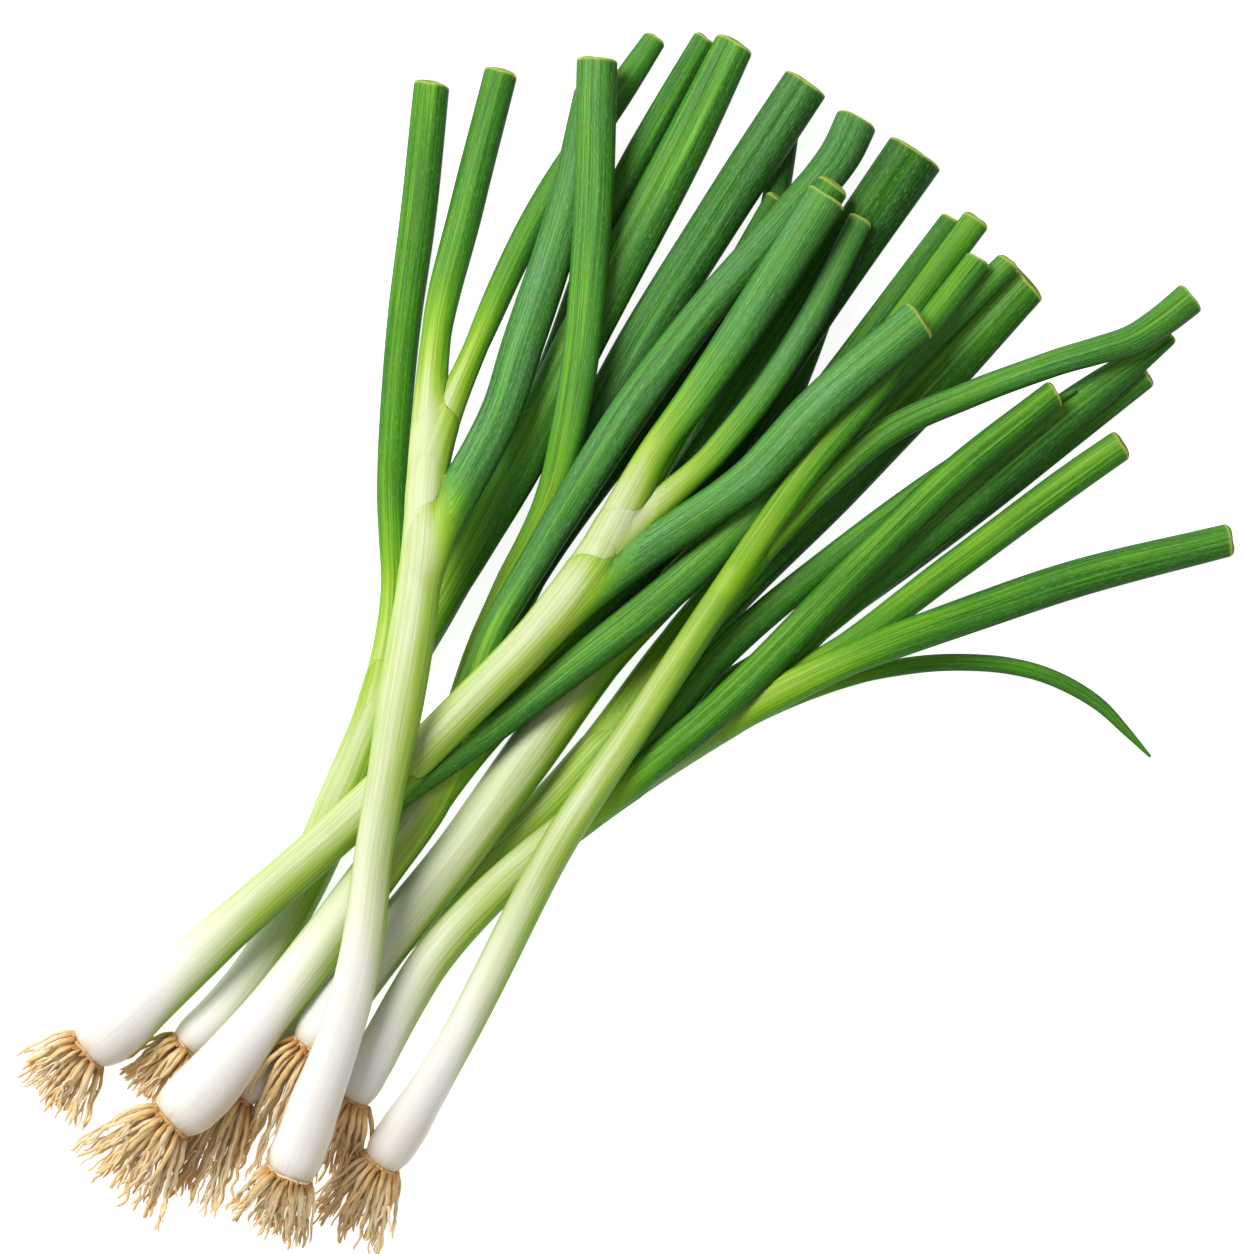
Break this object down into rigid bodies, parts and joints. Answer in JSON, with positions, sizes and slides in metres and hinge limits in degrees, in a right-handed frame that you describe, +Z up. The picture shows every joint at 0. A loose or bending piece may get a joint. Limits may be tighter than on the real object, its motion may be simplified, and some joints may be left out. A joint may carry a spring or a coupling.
{
  "type": "spring onion bunch",
  "caption": "Loose bunch of fresh spring onions lying crossed on a surface, with white bulbs, dry root tufts, pale ribbed shanks and green hollow leaves cut off square.",
  "frame": {"origin": "on the surface the bunch lies on, under the middle of its bounding box", "axes": "+X along the bunch from the roots to the cut leaf ends, +Y across it to the side of the leftmost bulb, +Z up"},
  "size_m": [0.3726, 0.2692, 0.0446],
  "materials": {
    "stem": "satin",
    "leaf": "satin",
    "roots": "matt"
  },
  "bodies": {
    "root": {"onion_a_stem": "stem", "onion_a_roots": "roots", "onion_a_leaf_1": "leaf", "onion_a_leaf_2": "leaf", "onion_a_leaf_3": "leaf", "onion_a_leaf_4": "leaf", "onion_a_leaf_5": "leaf", "onion_b_stem": "stem", "onion_b_roots": "roots", "onion_b_leaf_1": "leaf", "onion_b_leaf_2": "leaf", "onion_b_leaf_3": "leaf", "onion_c_stem": "stem", "onion_c_roots": "roots", "onion_c_leaf_1": "leaf", "onion_c_leaf_2": "leaf", "onion_c_leaf_3": "leaf", "onion_c_leaf_4": "leaf", "onion_c_leaf_5": "leaf", "onion_c_leaf_6": "leaf", "onion_d_stem": "stem", "onion_d_roots": "roots", "onion_d_leaf_1": "leaf", "onion_d_leaf_2": "leaf", "onion_d_leaf_3": "leaf", "onion_e_stem": "stem", "onion_e_roots": "roots", "onion_e_leaf_1": "leaf", "onion_e_leaf_2": "leaf", "onion_e_leaf_3": "leaf", "onion_f_stem": "stem", "onion_f_roots": "roots", "onion_f_leaf_1": "leaf", "onion_f_leaf_2": "leaf", "onion_g_stem": "stem", "onion_g_roots": "roots", "onion_g_leaf_1": "leaf", "onion_g_leaf_2": "leaf", "onion_g_leaf_3": "leaf", "onion_g_leaf_4": "leaf", "onion_g_leaf_5": "leaf", "onion_g_leaf_6": "leaf", "onion_h_stem": "stem", "onion_h_roots": "roots", "onion_h_leaf_1": "leaf", "onion_h_leaf_2": "leaf"}
  },
  "joints": []
}
